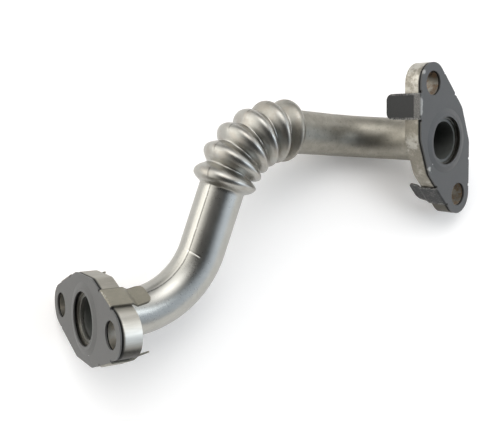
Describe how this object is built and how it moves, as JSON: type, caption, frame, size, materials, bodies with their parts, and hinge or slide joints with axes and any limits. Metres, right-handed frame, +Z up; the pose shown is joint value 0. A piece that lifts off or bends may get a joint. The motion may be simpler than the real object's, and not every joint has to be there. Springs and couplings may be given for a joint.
{
  "type": "engine oil pipe",
  "caption": "Bent steel engine oil return pipe with a bellows bend, a two-bolt flange brazed on each end and clipped sheet gaskets.",
  "frame": {"origin": "Centre of the bounding box's bottom, on the surface that the pipe lies on.", "axes": "+Z up. +X runs along the pipe's length, from the left flange to the right one. +Y points away from the viewer, up in the picture."},
  "size_m": [0.1554, 0.1034, 0.0533],
  "materials": {
    "tube_steel": "satin drawn steel tube with brown heat tint near the right flange",
    "flange_steel": "speckled blanked steel edge, worn bright in places",
    "braze": "dull brazing filler",
    "gasket_left_coat": "matt grey sealing coat on sheet steel",
    "gasket_right_coat": "matt dark grey sealing coat on sheet steel, worn through at the folds"
  },
  "bodies": {
    "root": {"tube": "tube_steel", "flange_left": "flange_steel", "flange_right": "flange_steel", "braze_left": "braze", "braze_right": "braze", "gasket_left": "gasket_left_coat", "gasket_right": "gasket_right_coat"}
  },
  "joints": []
}
